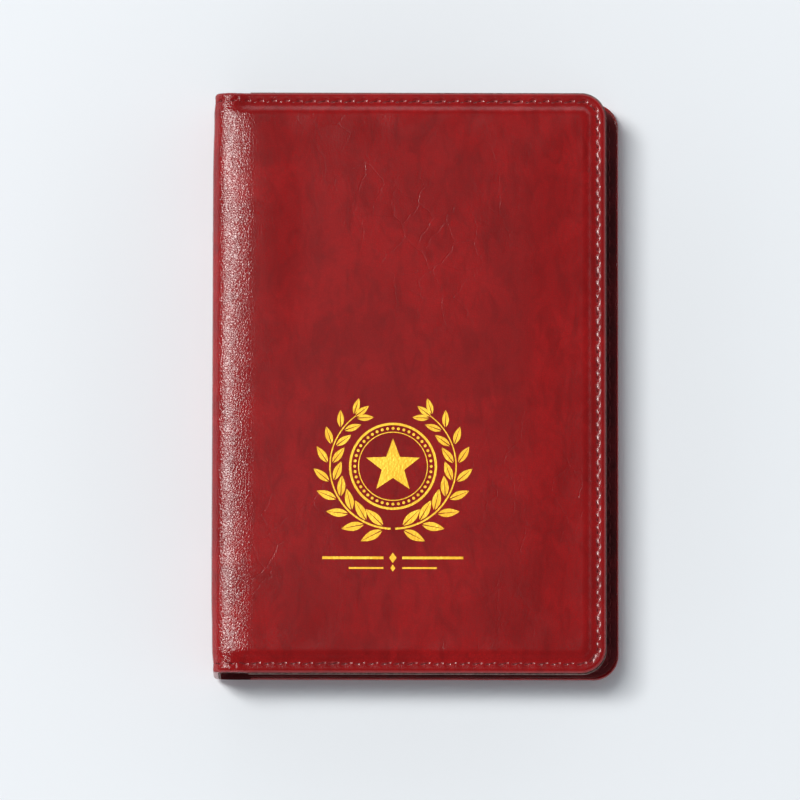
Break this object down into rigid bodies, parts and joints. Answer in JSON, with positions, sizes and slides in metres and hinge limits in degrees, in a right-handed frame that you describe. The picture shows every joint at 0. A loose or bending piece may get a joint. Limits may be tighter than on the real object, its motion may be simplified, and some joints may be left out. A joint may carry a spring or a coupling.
{
  "type": "coin album",
  "caption": "Small padded ring-binder album for coins: leather-look case with round spine, riveted two-ring binder and clear pocket leaves.",
  "frame": {"origin": "middle of the closed album's footprint, on the surface it lies on", "axes": "+X from the spine to the fore-edge, +Y up the cover from its lower edge, +Z out of the front cover"},
  "size_m": [0.1396, 0.2, 0.025],
  "materials": {
    "leather": "deep red padded leather-look PU with fine grain, semi-gloss",
    "thread": "dark red sewing thread",
    "lining": "dark brown-red embossed film",
    "board": "grey-brown binder's board",
    "foam": "off-white foam sheet",
    "steel": "bright nickel-plated steel",
    "clear_pvc": "clear soft PVC film with welded seams",
    "gold_foil": "hot-stamped gold foil"
  },
  "bodies": {
    "rear_cover": {"rear_cover_leather": "leather", "rear_cover_foam": "foam", "rear_cover_board": "board", "rear_cover_lining": "lining", "rear_cover_stitching": "thread"},
    "spine": {"spine_leather": "leather", "spine_board": "board", "spine_lining": "lining", "spine_stitching_head": "thread", "spine_stitching_tail": "thread", "rear_hinge_leather": "leather", "front_hinge_leather": "leather", "ring_plate": "steel", "rivet_head": "steel", "rivet_tail": "steel"},
    "front_cover": {"front_cover_leather": "leather", "front_cover_foam": "foam", "front_cover_board": "board", "front_cover_lining": "lining", "front_cover_stitching": "thread"},
    "front_rail": {"front_ring_rail": "steel", "front_half_ring_head": "steel", "front_half_ring_tail": "steel"},
    "rear_rail": {"rear_ring_rail": "steel", "rear_half_ring_head": "steel", "rear_half_ring_tail": "steel"},
    "leaf_01": {"leaf_01": "clear_pvc"},
    "leaf_02": {"leaf_02": "clear_pvc"},
    "leaf_03": {"leaf_03": "clear_pvc"},
    "leaf_04": {"leaf_04": "clear_pvc"},
    "leaf_05": {"leaf_05": "clear_pvc"},
    "leaf_06": {"leaf_06": "clear_pvc"},
    "leaf_07": {"leaf_07": "clear_pvc"},
    "leaf_08": {"leaf_08": "clear_pvc"},
    "leaf_09": {"leaf_09": "clear_pvc"},
    "leaf_10": {"leaf_10": "clear_pvc"}
  },
  "joints": [
    {"name": "spine_fold", "type": "hinge", "parent": "rear_cover", "child": "spine", "pos_m": [-0.06735, 0, 0.0017], "axis": [0, -1, 0], "range_deg": [0, 90], "deforming": ["rear_hinge_leather"]},
    {"name": "front_cover_fold", "type": "hinge", "parent": "spine", "child": "front_cover", "pos_m": [-0.06785, 0, 0.0238], "axis": [0, -1, 0], "range_deg": [0, 90], "deforming": ["front_hinge_leather"]},
    {"name": "ring_opening", "type": "hinge", "parent": "spine", "child": "front_rail", "pos_m": [-0.0648, -0.003, 0.01815], "axis": [0, -1, 0], "range_deg": [0, 8]},
    {"name": "rear_rail_turn", "type": "hinge", "parent": "spine", "child": "rear_rail", "pos_m": [-0.0648, -0.003, 0.00615], "axis": [0, -1, 0], "range_deg": [-8, 0]},
    {"name": "leaf_01_turn", "type": "hinge", "parent": "spine", "child": "leaf_01", "pos_m": [-0.05655, -0.003, 0.01215], "axis": [0, -1, 0], "range_deg": [0, 92]},
    {"name": "leaf_02_turn", "type": "hinge", "parent": "spine", "child": "leaf_02", "pos_m": [-0.05655, -0.003, 0.01215], "axis": [0, -1, 0], "range_deg": [0, 92]},
    {"name": "leaf_03_turn", "type": "hinge", "parent": "spine", "child": "leaf_03", "pos_m": [-0.05655, -0.003, 0.01215], "axis": [0, -1, 0], "range_deg": [0, 92]},
    {"name": "leaf_04_turn", "type": "hinge", "parent": "spine", "child": "leaf_04", "pos_m": [-0.05655, -0.003, 0.01215], "axis": [0, -1, 0], "range_deg": [0, 92]},
    {"name": "leaf_05_turn", "type": "hinge", "parent": "spine", "child": "leaf_05", "pos_m": [-0.05655, -0.003, 0.01215], "axis": [0, -1, 0], "range_deg": [0, 92]},
    {"name": "leaf_06_turn", "type": "hinge", "parent": "spine", "child": "leaf_06", "pos_m": [-0.05655, -0.003, 0.01215], "axis": [0, -1, 0], "range_deg": [-92, 0]},
    {"name": "leaf_07_turn", "type": "hinge", "parent": "spine", "child": "leaf_07", "pos_m": [-0.05655, -0.003, 0.01215], "axis": [0, -1, 0], "range_deg": [-92, 0]},
    {"name": "leaf_08_turn", "type": "hinge", "parent": "spine", "child": "leaf_08", "pos_m": [-0.05655, -0.003, 0.01215], "axis": [0, -1, 0], "range_deg": [-92, 0]},
    {"name": "leaf_09_turn", "type": "hinge", "parent": "spine", "child": "leaf_09", "pos_m": [-0.05655, -0.003, 0.01215], "axis": [0, -1, 0], "range_deg": [-92, 0]},
    {"name": "leaf_10_turn", "type": "hinge", "parent": "spine", "child": "leaf_10", "pos_m": [-0.05655, -0.003, 0.01215], "axis": [0, -1, 0], "range_deg": [-92, 0]}
  ],
  "couplings": [
    {"joint": "rear_rail_turn", "follows": "ring_opening", "ratio": -1},
    {"joint": "leaf_01_turn", "follows": "front_cover_fold", "ratio": 1},
    {"joint": "leaf_02_turn", "follows": "front_cover_fold", "ratio": 0.985},
    {"joint": "leaf_03_turn", "follows": "front_cover_fold", "ratio": 0.97},
    {"joint": "leaf_04_turn", "follows": "front_cover_fold", "ratio": 0.955},
    {"joint": "leaf_05_turn", "follows": "front_cover_fold", "ratio": 0.94},
    {"joint": "leaf_06_turn", "follows": "spine_fold", "ratio": -0.94},
    {"joint": "leaf_07_turn", "follows": "spine_fold", "ratio": -0.955},
    {"joint": "leaf_08_turn", "follows": "spine_fold", "ratio": -0.97},
    {"joint": "leaf_09_turn", "follows": "spine_fold", "ratio": -0.985},
    {"joint": "leaf_10_turn", "follows": "spine_fold", "ratio": -1}
  ]
}
